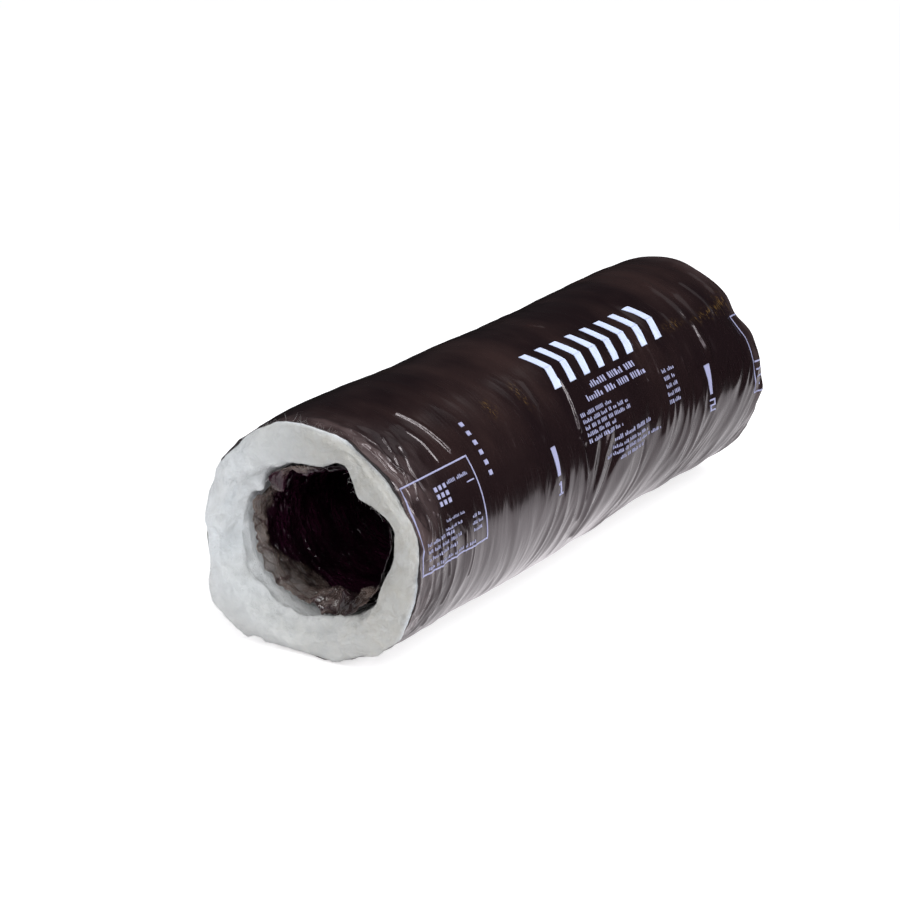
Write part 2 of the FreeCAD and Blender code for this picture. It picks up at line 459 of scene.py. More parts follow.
def woolMaterial():
    look = woolLook
    material, tree, shader = newMaterial("glassWool")
    clouds = addNoise(tree, (22.0, 22.0, 22.0), 4.0)
    tufts = addNoise(tree, (90.0, 70.0, 70.0), 5.0, 1.2)
    fine = addNoise(tree, (420.0, 260.0, 260.0), 4.0, 2.0)
    axes = addAxes(tree)
    height = addProduct(tree, addMath(tree, "SUBTRACT", axes["Z"], axisHeight), 0.25)
    # painted light and shade: lighter and cooler to the +Y side, darker and warmer to the -Y side and above
    side = addRange(tree, addMath(tree, "SUBTRACT", axes["Y"], height), 0.05, -0.06, 0.0, 1.0)
    body = addMix(tree, side, look["cool"], look["warm"])
    body = addMix(tree, addRange(tree, axes["Z"], 0.09, 0.01, 0.0, 0.55), body, look["low"])
    body = addMix(tree, addRange(tree, clouds, 0.4, 0.7, 0.0, 0.35), body, look["clouds"])
    # painted shade: darker where the tuft noise, which is also the bump's height, is low
    body = addMix(tree, addRange(tree, tufts, 0.35, 0.7, 0.45, 0.0), body, look["tufts"])
    rough = addMath(tree, "ADD", tufts, addProduct(tree, fine, 0.35))
    setSockets(
        tree,
        shader,
        # a painted highlight: cool white along the outer edge
        Base_Color=addMix(tree, addShare(tree, "edge"), body, look["tornEdge"]),
        Normal=addBump(tree, rough, 0.7, 0.005),
        Roughness=0.95,
        Specular_IOR_Level=0.1,
        Sheen_Weight=0.2,
        Sheen_Roughness=0.6,
        Subsurface_Weight=0.5,
        Subsurface_Radius=(look["glow"], look["glow"], look["glow"]),
        Subsurface_Scale=1.0,
    )
    return material


coreLook = {
    # doubled film is nearly black; its purple tint is kept to the +Y side as painted light, and the -Y side
    # is left black as painted shade
    "black": (0.003, 0.001, 0.002, 1),
    "purple": (0.034, 0.006, 0.020, 1),
    # the single ply at the mouth is a paler smoky brown, with painted shade in its crease valleys
    "brown": (0.17, 0.12, 0.10, 1),
    "grey": (0.39, 0.305, 0.27, 1),
    # painted shade for the crease valleys
    "creases": (0.045, 0.03, 0.026, 1),
    # how much the single ply lets through, seen square and seen aslant
    "seeThrough": (0.72, 0.2),
    "roughness": (0.06, 0.16),
}


def coreMaterial():
    look = coreLook
    material, tree, shader = newMaterial("coreFilm")
    grain = addFilmGrain(tree, (200.0, 50.0, 50.0), 1.2)
    clear = addShare(tree, "clear")
    cloud = addNoise(tree, (60.0, 30.0, 30.0), 3.0)
    # painted light: the film's purple tint shows only towards the +Y side, and the -Y side stays black as
    # painted shade
    purple = addRange(tree, addAxes(tree)["Y"], -0.055, 0.03, 0.15, 1.0)
    purple = addProduct(tree, purple, addRange(tree, cloud, 0.35, 0.65, 0.2, 1.0))
    doubled = addMix(tree, purple, look["black"], look["purple"])
    single = addMix(tree, addRange(tree, cloud, 0.35, 0.65, 0.0, 1.0), look["brown"], look["grey"])
    # painted shade: darker where the grain's height is low, in the crease valleys
    creased = addRange(tree, grain.outputs["Height"], 0.13, 0.19, 0.75, 0.0)
    single = addMix(tree, creased, single, look["creases"])
    facing = addNode(tree, "ShaderNodeLayerWeight", Blend=0.5).outputs["Facing"]
    thin = addProduct(tree, clear, addRange(tree, facing, 0.1, 0.9, *look["seeThrough"]))
    setSockets(
        tree,
        shader,
        Base_Color=addMix(tree, clear, doubled, single),
        Roughness=addRange(tree, grain.outputs["Scuffs"], 0.0, 1.0, *look["roughness"]),
        Normal=addBump(tree, grain.outputs["Height"], 0.5, 0.0018),
        Alpha=addMath(tree, "SUBTRACT", 1.0, thin),
    )
    return material


wireLook = {"dark": (0.30, 0.30, 0.31, 1), "bright": (0.50, 0.50, 0.51, 1), "roughness": (0.25, 0.45)}


def wireMaterial():
    look = wireLook
    material, tree, shader = newMaterial("springWire")
    grain = addNoise(tree, (900.0, 200.0, 200.0), 2.0)
    rough = addRange(tree, grain, 0.3, 0.7, *look["roughness"])
    color = addMix(tree, grain, look["dark"], look["bright"])
    setSockets(tree, shader, Base_Color=color, Roughness=rough, Metallic=1.0)
    return material


inkLook = {
    "bold": (0.66, 0.75, 0.98, 1),
    "thin": (0.38, 0.39, 0.60, 1),
    "worn": (0.36, 0.37, 0.52, 1),
    # painted light: the ink glows faintly in this colour, though it is no lamp
    "glow": (0.35, 0.45, 0.9, 1),
    # how strong that painted glow is in bold and in thin ink
    "glowStrength": (0.11, 0.02),
    "roughness": (0.35, 0.55),
}


def inkMaterial():
    look = inkLook
    material, tree, shader = newMaterial("printInk")
    wear = addNoise(tree, (500.0, 90.0, 90.0), 4.0)
    thin = addShare(tree, "thin")
    ink = addMix(tree, thin, look["bold"], look["thin"])
    setSockets(
        tree,
        shader,
        Base_Color=addMix(tree, addRange(tree, wear, 0.5, 0.8, 0.0, 0.5), ink, look["worn"]),
        Roughness=addRange(tree, wear, 0.3, 0.7, *look["roughness"]),
        # painted light: the ink glows a little
        Emission_Color=look["glow"],
        Emission_Strength=addRange(tree, thin, 0.0, 1.0, *look["glowStrength"]),
    )
    return material


jacketFilm = jacketMaterial()
glassWool = woolMaterial()
coreFilm = coreMaterial()
springWire = wireMaterial()
printInk = inkMaterial()
print("materials made")

# Jacket: a gathered film sleeve

jacketSettings = {
    "filmThickness": 0.0006,
    "rowSpacing": 0.0009,
    "columns": 320,
    "mouthRowSpacing": 0.0006,
    "mouthColumns": 440,
    # the inner side is plain and coarse, and lies too far in for the folds to reach it
    "innerRowSpacing": 0.012,
    "innerDepth": 0.004,
    # how far the sleeve stands off its plain oval, seen on its upper and lower outline (mm) at
    # places along it (mm from the front rim)
    "outlinePlaces": [0, 60, 140, 220, 300, 380, 460, 540, 620, 672],
    "upperOffset": [1.0, 2.4, 1.5, -1.0, -0.3, -1.8, -1.6, 0.0, 0.9, 0.0],
    "lowerOffset": [1.5, 0.2, 0.0, 1.5, 1.5, -0.8, -4.3, -3.3, -3.1, -2.5],
    "upperOutline": 57,
    # swells and dents of the two rims: (place from the front rim, reach, angle, spread, mm)
    "rimSwells": [
        (0, 45, 18, 42, -7.5), (0, 40, 178, 36, 3.8), (0, 30, 318, 14, 2.0), (0, 30, 272, 40, -8.5),
        (0, 30, 238, 12, -3.0), (0, 30, 345, 14, -2.0), (0, 30, 62, 14, -2.0),
        (672, 26, 141, 20, -3.0), (672, 26, 141, 9, -6.0), (672, 20, 238, 12, -2.0),
    ],
    # folds: (grain along the duct, cells round it, height), in metres
    "softFolds": [(0.040, 6, 0.0012), (0.012, 13, 0.00020)],
    "sharpFolds": [(0.026, 8, 0.0014), (0.0140, 11, 0.00042)],
    # how the folds wander along the duct: by sines (m, count round, turn) and by noise (m)
    "foldWaves": [(0.006, 1, 0.7), (0.003, 3, 2.0)],
    "slant": 0.020,
    "slantSize": 0.09,
    # low down the folds lean, from none at the front to so much towards the rear (m per degree)
    "lean": 0.0010,
    "patchSize": 0.06,
    # crisp crumples at the two rims, how far in they reach and how deep they may go
    "rimCrumples": [(0.021, 22, 0.0018), (0.0095, 50, 0.0005), (0.0045, 110, 0.0001)],
    "rimCrumpleReach": 0.038,
    "rimCrumpleDepth": 0.0008,
    # how the rims' edges wave: (m, count round, turn), and how far in that fades
    "rimWaves": [(0.0021, 3, 1), (0.0015, 7, 0), (0.0009, 13, 2)],
    "rimWaveFade": 0.025,
    "floorSoftness": 0.003,
    # patches of painted gold glints, as faint specks: (place from the front rim, angle, reach, spread)
    "fleckPatches": [
        (193, 128, 7, 4), (247, 128, 5, 6), (543, 131, 16, 2), (610, 134, 26, 2.5), (650, 131, 14, 5),
    ],
}

# Single creases from front to rear: height and half width in mm, and a path of (mm from the front
# rim, angle)
creases = [
    (0.9, 1.2, [(12, 122), (10, 133), (15, 143), (12, 152)]),
    (0.9, 1.2, [(18, 110), (24, 120), (19, 130), (27, 140)]),
    (-1.1, 2.0, [(22, 178), (29, 196), (20, 214)]),
    (0.9, 1.4, [(30, 143), (22, 150), (26, 160), (18, 170)]),
    (1.1, 1.3, [(38, 118), (31, 127), (24, 134), (20, 143)]),
    (0.8, 1.6, [(37, 158), (33, 172), (36, 184)]),
    (-1.0, 1.8, [(44, 126), (33, 138), (38, 152)]),
    (1.0, 1.8, [(42, 160), (36, 176), (41, 196), (38, 215)]),
    (1.1, 1.5, [(57, 162), (50, 176), (53, 189)]),
    (0.9, 1.8, [(58, 166), (62, 184), (55, 205)]),
    (0.8, 1.8, [(70, 121), (75, 128), (77, 139)]),
    (0.9, 1.4, [(69, 164), (80, 173), (79, 182)]),
    (0.4, 3.0, [(70, 116), (78, 130), (84, 146)]),
    (1.9, 3.2, [(84, 110), (92, 121), (101, 137)]),
    (0.9, 1.5, [(94, 181), (91, 196)]),
    (0.6, 2.6, [(199, 138), (192, 149)]),
    (0.9, 3.5, [(264, 124), (257, 139), (240, 153)]),
    (1.5, 2.4, [(295, 160), (296, 178), (291, 200)]),
    (-1.9, 3.0, [(304, 165), (305, 179), (300, 190)]),
    (2.0, 2.4, [(313, 131), (306, 143), (299, 156)]),
    (2.4, 4.0, [(349, 164), (332, 173), (312, 191), (300, 212)]),
    (-2.0, 4.5, [(357, 172), (341, 183), (324, 199), (316, 216)]),
    (1.6, 2.5, [(376, 92), (383, 98)]),
    (-1.5, 3.0, [(420, 178), (410, 200), (400, 220)]),
    (0.9, 2.2, [(459, 128), (452, 141), (450, 152)]),
    (0.7, 2.6, [(470, 131), (466, 140), (463, 148)]),
    (1.0, 2.4, [(481, 128), (478, 140), (474, 150)]),
    (0.7, 2.6, [(509, 130), (502, 144)]),
    (0.9, 2.4, [(530, 136), (524, 147), (520, 158)]),
    (0.8, 3.4, [(545, 124), (541, 140), (543, 155)]),
    (0.7, 2.0, [(571, 126), (569, 131)]),
    (0.9, 2.2, [(572, 136), (570, 143), (571, 150)]),
    (1.7, 5.8, [(577, 103), (575, 116), (574, 127), (572, 140), (573, 153)]),
    (-1.6, 5.0, [(588, 118), (586, 134), (585, 152)]),
    (0.8, 2.6, [(621, 133), (607, 147)]),
    (1.1, 2.8, [(620, 112), (622, 128), (618, 140)]),
    (-1.8, 6.0, [(652, 100), (648, 125), (652, 150)]),
]


def creaseRelief(x, angle):
    # Each crease is a soft ridge or groove, as high as a bell curve of the way to its path.
    along, around = (x - frontRim) * 1000, np.degrees(angle) % 360
    mmPerDegree = halfWidth * 1000 * math.pi / 180
    total = np.zeros(np.broadcast(x, angle).shape)
    for height, width, path in creases:
        nearest = np.full(total.shape, np.inf)
        for (x0, a0), (x1, a1) in zip(path[:-1], path[1:]):
            dx, da = x1 - x0, (a1 - a0) * mmPerDegree
            toX, toA = along - x0, (around - a0) * mmPerDegree
            t = np.clip((toX * dx + toA * da) / (dx * dx + da * da), 0, 1)
            nearest = np.minimum(nearest, (toX - t * dx) ** 2 + (toA - t * da) ** 2)
        total += height * np.exp(-nearest / width**2)
    return total / 1000


def jacketOffset(x, angle):
    # How far the sleeve stands off its plain oval.
    s = jacketSettings
    along = (x - frontRim) * 1000
    upper = smoothThrough(s["outlinePlaces"], s["upperOffset"], along)
    lower = smoothThrough(s["outlinePlaces"], s["lowerOffset"], along)
    share = (1 + np.cos(angle - math.radians(s["upperOutline"]))) / 2
    total = upper * share + lower * (1 - share)
    for place, reach, centre, spread, height in s["rimSwells"]:
        total = total + height * bump(along, place, reach) * angleBump(angle, centre, spread)
    return total / 1000


def jacketRelief(x, angle):
    # Folds run round the duct and wander a little. They are patchy, stronger low on the sides
    # and towards the rear, and crumple at the two rims.
    s = jacketSettings
    along = x - frontRim
    leaning = s["lean"] * ramp(0.10, 0.30, along) * ramp(30, -10, angleGap(angle, 250))
    wander = wavesRound(angle, s["foldWaves"]) + leaning * np.clip(angleGap(angle, 160), 0, 90)
    slant = s["slant"] * streaks(x, angle, s["slantSize"], 5, seeds["slant"], start=9)
    place = x + wander + slant
    patch = ramp(-0.35, 0.45, streaks(x, angle, s["patchSize"], 6, seeds["patch"], start=0))
    sharp = layeredFolds(place, angle, s["sharpFolds"], seeds["sharpFolds"], level=0.4)
    total = sharp * (0.25 + 0.75 * patch)
    for n, (pitch, cells, height) in enumerate(s["softFolds"]):
        total = total + height * streaks(place, angle, pitch, cells, seeds["softFolds"] + n)
    rearward = 0.5 + 0.62 * ramp(0.22, 0.40, along) + 0.3 * bump(along, 0, 0.06)
    low = 0.48 + 0.89 * ramp(0.62, -0.15, np.sin(angle))
    crumple = layeredFolds(x, angle, s["rimCrumples"], seeds["rimCrumples"], level=0.4)
    crumple = np.maximum(crumple, -s["rimCrumpleDepth"]) * (1 - 0.85 * ramp(0.3, 0.5, along))
    near = bump(np.minimum(along, rearRim - x), 0, s["rimCrumpleReach"])
    return total * rearward * low + crumple * near * (0.8 + 0.5 * angleBump(angle, 135, 28))


def jacketPoints(x, angle, inward=0.0, relief=True):
    # The sleeve's oval, pushed in or out by its outline, folds and creases, then laid flat where
    # it would sink through the floor.
    s = jacketSettings
    x, angle = np.broadcast_arrays(x, angle)
    out = jacketOffset(x, angle) - inward
    if relief:
        out = out + jacketRelief(x, angle) + creaseRelief(x, angle)
    y = (halfWidth + out) * np.cos(angle)
    z = axisHeight + (halfHeight + out) * np.sin(angle) - inward
    k = s["floorSoftness"]
    z = np.where(z > k, z, np.where(z < -k, 0, (z + k) ** 2 / (4 * k))) + inward
    fade = s["rimWaveFade"]
    share = np.exp(-(x - frontRim) / fade) - np.exp(-(rearRim - x) / fade)
    return np.stack([x + share * wavesRound(angle, s["rimWaves"]), y, z], axis=-1)


def paintedGlintShare(x, angle):
    # Where faint gold glints are painted on the film.
    total = 0
    for place, centre, reach, spread in jacketSettings["fleckPatches"]:
        total = total + bump((x - frontRim) * 1000, place, reach) * angleBump(angle, centre, spread)
    return np.clip(total, 0, 1)


def paleShare(x, angle):
    # Where the thin film shows the pale wool under it: on one side of the crumples' crests, near
    # the two rims and farthest in on the -Y side of the front.
    pitch, cells, _ = jacketSettings["rimCrumples"][0]
    patches = ramp(-0.25, 0.25, streaks(x, angle, pitch, cells, seeds["rimCrumples"]))
    finer = ramp(-0.4, 0.4, streaks(x, angle, 0.007, 60, seeds["rimCrumples"] + 1))
    front = bump(x, frontRim, 0.018 + 0.026 * angleBump(angle, 140, 34))
    rear = 0.5 * bump(x, rearRim, 0.014)
    return (front + rear) * (0.2 + 0.55 * patches + 0.25 * finer)


def makeJacket(span):
    s = jacketSettings
    start, end = max(span["from"], frontRim), min(span["to"], rearRim)
    atMouth = span is spans[0]
    angle = anglesRound(s["mouthColumns"] if atMouth else s["columns"])[None, :]
    outerPlaces = placesAlong(start, end, s["mouthRowSpacing"] if atMouth else s["rowSpacing"])[:, None]
    innerPlaces = placesAlong(start, end, s["innerRowSpacing"])[:, None]
    outer = jacketPoints(outerPlaces, angle)
    inner = jacketPoints(innerPlaces, angle, s["innerDepth"], relief=False)
    # the film is thin where its edge shows
    for row in (0, -1):
        x, y, z = outer[row].T
        y = y * (1 - s["filmThickness"] / halfWidth)
        z = axisHeight + (z - axisHeight) * (1 - s["filmThickness"] / halfHeight)
        inner[row] = np.stack([x, y, z], axis=-1)
    piece = shellPiece("jacket" + span["name"], outer, inner, jacketFilm)
    for name, share in (("fleck", paintedGlintShare), ("pale", paleShare)):
        setShare(piece, name, np.concatenate([share(outerPlaces, angle), np.zeros(inner.shape[:2])]))
    return piece


# Blanket: glass wool that swells out at both mouths

mouthSettings = {
    # the hole at the front face: (angle, radius in mm)
    "holeRadii": [
        (0, 85), (33, 80), (48, 77), (62, 75), (76, 77), (90, 80), (104, 85), (118, 99), (126, 93),
        (132, 89), (143, 92), (150, 97), (157, 105), (166, 102), (173, 97), (181, 91), (195, 87),
        (213, 83), (235, 81), (260, 81), (285, 84), (310, 88), (335, 88),
    ],
    "holeFade": 0.028,
    # lobes of wool that stand out past the jacket: (angle, spread, mm)
    "lobes": [
        (322, 13, 16.0), (337, 7, -1.5), (216, 9, 4.0), (76, 17, 6.5), (270, 45, 3.0), (15, 40, 3.5),
        (302, 13, 12.5), (247, 10, 5.0), (233, 9, 7.5),
    ],
    # how far the crest draws back from the end and how round it is there: (angle, spread, share)
    "drawnBack": [(272, 44, 0.62), (20, 40, 0.30), (130, 30, 0.20), (185, 25, 0.15)],
    # where the wool slopes evenly down into the hole: (angle, spread, share)
    "funnels": [(320, 40, 1.0), (2, 24, 0.6)],
    # (cells round the mouth, cells across the wall, mm)
    "lumps": [(9, 1.7, 4.6), (19, 3.4, 2.8), (40, 7, 1.3), (90, 15, 0.55), (170, 28, 0.25)],
    # soft clefts across the wall: (angle, slant, half width in degrees, mm)
    "clefts": [(352, 12, 8, 9.0), (14, -8, 5, 3.0), (300, -14, 5, 3.0), (205, 10, 4, 2.5), (60, 8, 6, 2.0)],
    # tufts that stand into the hole: (angle, spread, place across the wall, spread, mm)
    "tufts": [
        (37, 8, 0.94, 0.08, 11.0), (18, 9, 0.80, 0.10, 4.0), (338, 9, 0.82, 0.10, 5.0),
        (260, 26, 0.93, 0.10, 9.5), (314, 7, 0.93, 0.06, 4.0), (292, 6, 0.94, 0.06, 4.5),
    ],
    "overhang": {"front": 0.0015, "rear": -0.0015},
    # the oval's powers across the wall and forward: plain, and what is added where the crest is
    # drawn back and in a funnel
    "acrossPower": (0.8, 0.3, 0.6),
    "forwardPower": (0.62, 0.5, 1.1),
    # a wall thinner than this (m) has a lower crest, down to a share of the full one
    "thinWall": 0.045,
    "thinCrest": 0.74,
    # how far the crest stays back, for the lumps, and how much lower it is where drawn back
    "crestGap": 0.0045,
    "drawnCrest": 0.45,
    # a painted highlight, a cool bright band along the jacket: (angle, spread)
    "brightEdges": [(118, 22), (195, 22), (80, 14)],
    "columns": 384,
    "faceRows": 130,
    "wallRows": 14,
    # how far inside the rim the face starts, how far under the film the face and the wall lie, and
    # the gap from the face's last row to the hole's next
    "tuck": 0.012,
    "underFilm": 0.0012,
    "wallInset": 0.0065,
    "wallGap": 0.002,
    # the rear mouth is a calmer copy of the front one, turned round: its hole has this share of the
    # front one's form, and its face this share of the lobes
    "rearTurn": 140,
    "rearHole": 0.35,
    "rearLobes": 0.15,
}
blanketHole = outerFilmRadius + 0.0012


def frontAngle(angle, side):
    # The angle in degrees at which the front mouth has the form that this mouth has at an angle.
    return np.degrees(angle) if side == "front" else mouthSettings["rearTurn"] - np.degrees(angle)


def mouthRadius(angle, side):
    # The wool hole's radius at a mouth.
    s = mouthSettings
    angles, radii = zip(*s["holeRadii"])
    radius = smoothThrough(angles, radii, frontAngle(angle, side), 360) / 1000
    return blanketHole + (radius - blanketHole) * (1.0 if side == "front" else s["rearHole"])


def mouthFlare(x, angle, side):
    # How much wider the hole is than its plain radius, fading out with depth.
    end = frontEnd + 0.006 if side == "front" else rearEnd - 0.006
    depth = np.maximum(0, np.abs(x - end) - 0.004)
    return (mouthRadius(angle, side) - blanketHole) * bump(depth, 0, mouthSettings["holeFade"])


def bothFlares(x, angle):
    # The flare of both mouths, of which only the nearer one reaches this far.
    return mouthFlare(x, angle, "front") + mouthFlare(x, angle, "rear")


def sideAngle(centre, side):
    # The rear mouth has the lobes and clefts of the front one on its other side.
    return centre if side == "front" else 180 - centre


def aroundSum(angle, side, entries):
    # The sum of bell curves round the mouth: (angle, spread, height).
    total = 0
    for centre, spread, height in entries:
        total = total + height * angleBump(angle, sideAngle(centre, side), spread)
    return total if side == "front" else mouthSettings["rearLobes"] * total


def woolLumps(angle, t, side):
    # Lumps, clefts and tufts of a mouth's face, in metres, at shares t of the way across its wall.
    s = mouthSettings
    lumps = np.zeros(np.broadcast(t, angle).shape)
    for n, (cells, crossings, height) in enumerate(s["lumps"]):
        seed = seeds[side + "Lumps"] + n
        lumps += height / 1000 * streaks(t, angle, 1 / crossings, cells, seed, start=3)
    for centre, slant, width, depth in s["clefts"]:
        at = sideAngle(centre, side) + slant * (t - 0.7)
        lumps -= depth / 1000 * angleBump(angle, at, width) * bump(t, 0.84, 0.22)
    lumps *= ramp(0.06, 0.2, t) * (1 - 0.5 * ramp(0.85, 1, t))
    for centre, spread, place, reach, height in s["tufts"] if side == "front" else []:
        lumps += height / 1000 * angleBump(angle, centre, spread) * bump(t, place, reach)
    return lumps


def woolFace(side):
    # One mouth's face. Across the wall it is half of an oval, from under the jacket's rim over
    # the crest and into the hole; lumps push it in and out along its own outward way.
    s = mouthSettings
    way, rim, end = (-1, frontRim, frontEnd) if side == "front" else (1, rearRim, rearEnd)
    angle = anglesRound(s["columns"])[None, :]
    t = np.linspace(0, 1, s["faceRows"])[:, None]
    turn = np.pi * t
    edge = jacketPoints(np.full_like(angle, rim), angle, s["underFilm"], relief=False)
    wave, outerY, outerZ = edge[..., 0] - rim, edge[..., 1], edge[..., 2] - axisHeight
    innerY = mouthRadius(angle, side) * np.cos(angle)
    innerZ = mouthRadius(angle, side) * np.sin(angle)
    back = aroundSum(angle, side, s["drawnBack"])
    funnel = np.clip(aroundSum(angle, side, s["funnels"]), 0, 1) * ramp(0.48, 0.62, t)

    def power(name):
        plain, drawn, sloped = s[name]
        return plain + drawn * back + sloped * funnel

    across = 0.5 - 0.5 * np.sign(np.cos(turn)) * np.abs(np.cos(turn)) ** power("acrossPower")
    forward = np.sin(turn) ** power("forwardPower")
    wall = np.hypot(outerY - innerY, outerZ - innerZ)
    crest = s["thinCrest"] + (1 - s["thinCrest"]) * np.clip(wall / s["thinWall"], 0, 1)
    crest = (abs(end - rim) + s["tuck"]) * crest * (1 - s["drawnCrest"] * back) - s["crestGap"]
    # swell past the jacket just outside the rim
    swell = s["overhang"][side] + aroundSum(angle, side, s["lobes"]) / 1000
    swell = swell * bump(t, 0.24, 0.17) * ramp(0.05, 0.14, t)
    lumps = woolLumps(angle, t, side)
    outward = swell + lumps * np.cos(turn)
    x = rim + way * (crest * forward - s["tuck"] + 0.9 * lumps * forward) + wave * (1 - ramp(0.1, 0.35, t))
    y = outerY * (1 - across) + innerY * across + outward * np.cos(angle)
    z = outerZ * (1 - across) + innerZ * across + outward * np.sin(angle)
    # short of the rim it keeps under the crumpled film
    film = jacketPoints(np.clip(x - wave, frontRim, rearRim), angle, s["underFilm"])
    fit = np.hypot(film[..., 1], film[..., 2] - axisHeight) / np.hypot(y, z)
    under = ramp(0.0012, -0.0004, way * (x - wave - rim))
    fit = 1 - under * (1 - np.minimum(fit, 1))
    return np.stack([x, y * fit, np.maximum(axisHeight + z * fit, 0.0004)], axis=-1)


def makeBlanket(span):
    s = mouthSettings
    angle = anglesRound(s["columns"])[None, :]
    atFront, atRear = span is spans[0], span is spans[-1]
    start = frontRim + s["tuck"] if atFront else span["from"]
    end = rearRim - s["tuck"] if atRear else span["to"]
    walls = placesAlong(start, end, (end - start) / s["wallRows"])[:, None]
    outer = jacketPoints(walls, angle, s["wallInset"], relief=False)
    inner = tubePoints(walls, angle, blanketHole + bothFlares(walls, angle))
    if atFront:
        face = woolFace("front")
        inner = inner[inner[:, 0, 0] > face[-1, :, 0].max() + s["wallGap"]]
        rows = np.concatenate([outer[::-1][:-1], face, inner])[::-1]
    elif atRear:
        face = woolFace("rear")
        inner = inner[inner[:, 0, 0] < face[-1, :, 0].min() - s["wallGap"]]
        rows = np.concatenate([outer[:-1], face, inner[::-1]])
    else:
        rows = np.concatenate([outer, inner[::-1]])
    faces = gridFaces(len(rows), s["columns"], True, True)
    piece = makePiece("blanket" + span["name"], rows, faces, glassWool)
    edge = np.zeros(rows.shape[:2])
    if atFront:
        # the face's rows lie between the inner wall's and the outer wall's
        first = len(inner)
        t = np.linspace(1, 0, s["faceRows"])[:, None]
        places = sum(angleBump(angle, centre, spread) for centre, spread in s["brightEdges"])
        # a painted highlight in a band near the face's outer edge
        edge[first:first + s["faceRows"]] = bump(t, 0.13, 0.07) * np.clip(places, 0, 1)
    setShare(piece, "edge", edge)
    return piece


# Core: two plies of smoky film with the wire between them

coreSettings = {
    "filmThickness": 0.0004,
    "rowSpacing": 0.0011,
    "columns": 320,
    # the film's outer side has coarser rows, and lies further out than its edges do
    "backSpacing": 0.006,
    "backDepth": 0.0012,
    # how deep inside the front mouth the film's edge lies, and where it stops being clear (mm)
    "edgeAngles": [
        0, 12, 22, 32, 40, 50, 62, 75, 92, 108, 125, 150, 180, 205, 220, 236, 250, 264, 285, 310, 335,
    ],
    "edgeDepths": [28, 24, 26, 38, 32, 14, 11, 11, 11, 13, 15, 16, 15, 12, 11, 14, 21, 27, 36, 34, 30],
    "clearDepths": [45, 55, 62, 62, 56, 38, 26, 20, 17, 6, -8, -8, -8, 22, 36, 52, 66, 76, 80, 80, 50],
    # folds of film that hang or stand into the hole: (angle, spread, depth, reach, mm)
    "hangings": [
        (84, 15, 27, 9, 9.5), (84, 26, 10, 7, -2.4), (70, 5, 24, 6, -3.0), (51, 9, 24, 9, 15.0),
        (226, 16, 26, 10, 9.0), (243, 7, 34, 8, 8.0), (264, 19, 50, 14, 22.0), (240, 11, 40, 11, 12.0),
        (278, 6, 44, 7, 5.0), (252, 5, 44, 6, 5.0), (212, 6, 28, 7, 6.0), (222, 5, 36, 6, 5.0),
        (282, 7, 66, 9, 6.0), (330, 9, 44, 5, 5.0), (300, 12, 54, 6, 5.0), (350, 8, 40, 4, 4.0),
    ],
    "ribPitch": 0.020,
    "ribDepth": 0.0012,
    # the outer ply lies behind the doubled, dark part only
    "outerPlyStart": 0.078,
    "outerPlyEnd": 0.03,
    "outerPlyInset": 0.0006,
    "outerPlySpacing": 0.004,
    "outerPlyColumns": 96,
    # (grain along the duct, cells round it, height)
    "crinkles": [(0.0085, 26, 0.0012), (0.0046, 48, 0.0011), (0.0029, 76, 0.0006)],
    "mouthCrumples": [(0.026, 14, 0.0034), (0.0125, 26, 0.0030), (0.0065, 48, 0.0010)],
    "crumpleDepth": 0.055,
    # the film's ragged edge: (cells round it, height, start in the noise)
    "jags": [(60, 0.0022, 40), (23, 0.003, 45)],
    # where the film at the front mouth is doubled, and so dark: (angle, spread, share)
    "doubled": [(246, 30, 0.72), (226, 12, 0.36), (56, 12, 0.95)],
}


def ribSag(x, angle):
    # The film is held out by the wire's turns and sags in between them.
    s = coreSettings
    return s["ribDepth"] * np.sin(np.pi * (x - wireFront) / s["ribPitch"] - angle / 2) ** 2


def filmEdge(angle, side, what="edgeDepths"):
    # How deep inside a mouth the film's edge lies. The rear one is a shallower copy.
    s = coreSettings
    depth = smoothThrough(s["edgeAngles"], s[what], frontAngle(angle, side), 360) / 1000
    if side == "rear":
        depth = 0.006 + 0.35 * depth
    for n, (cells, height, start) in enumerate(s["jags"]):
        depth = depth + height * streaks(0 * angle, angle, 1, cells, seeds["filmEdge"] + n, start)
    return depth


def innerFilmRadius(x, angle):
    # Crinkles run round the film, and it crumples freely at both mouths, where it follows the
    # wool's hole outwards.
    s = coreSettings
    fromMouth = np.minimum(x - frontEnd, rearEnd - x)
    free = 1 - ramp(s["crumpleDepth"] * 0.5, s["crumpleDepth"] * 1.5, fromMouth)
    # pressed to the wool where the hole is wide, loose low on the +Y side
    loose = 0.12 + 0.88 * ramp(112, 90, np.abs(angleGap(angle, 310)))
    loose = loose * (1 - 0.65 * angleBump(angle, 230, 28))
    crinkle = layeredFolds(x, angle, s["crinkles"], seeds["crinkles"], level=0.2)
    crumple = layeredFolds(x, angle, s["mouthCrumples"], seeds["mouthCrumples"], level=0.1)
    inward = ribSag(x, angle) * (1 - 0.6 * free) + crinkle * (1 - 0.3 * free)
    inward = inward + np.maximum(crumple, -0.001) * free * loose
    for centre, spread, depth, reach, height in s["hangings"]:
        place = bump((x - coreFront) * 1000, depth, reach) * angleBump(angle, centre, spread)
        inward = inward + height / 1000 * place
    # but not where the wire stands between it and the wool
    clearOfWire = ramp(0.030, 0.020, fromMouth)
    pressed = (outerFilmRadius - coreRadius) * free * (1 - loose) * clearOfWire
    return coreRadius + bothFlares(x, angle) + pressed - np.maximum(inward, -0.0003)


def clearShare(x, angle):
    # How far the film is a single ply: near the two mouths, but dark where it lies in folds and
    # where it is doubled.
    clear = 1 - ramp(-0.004, 0.005, x - coreFront - filmEdge(angle, "front", "clearDepths"))
    creased = folds(x + 0.02 * angle, angle, 0.017, 15, seeds["darkFolds"])
    doubled = np.minimum(aroundSum(angle, "front", coreSettings["doubled"]), 0.96)
    clear = clear * (1 - 0.7 * ramp(0.66, 0.95, creased)) * (1 - doubled)
    return np.maximum(clear, 1 - ramp(0.010, 0.020, coreRear - x))


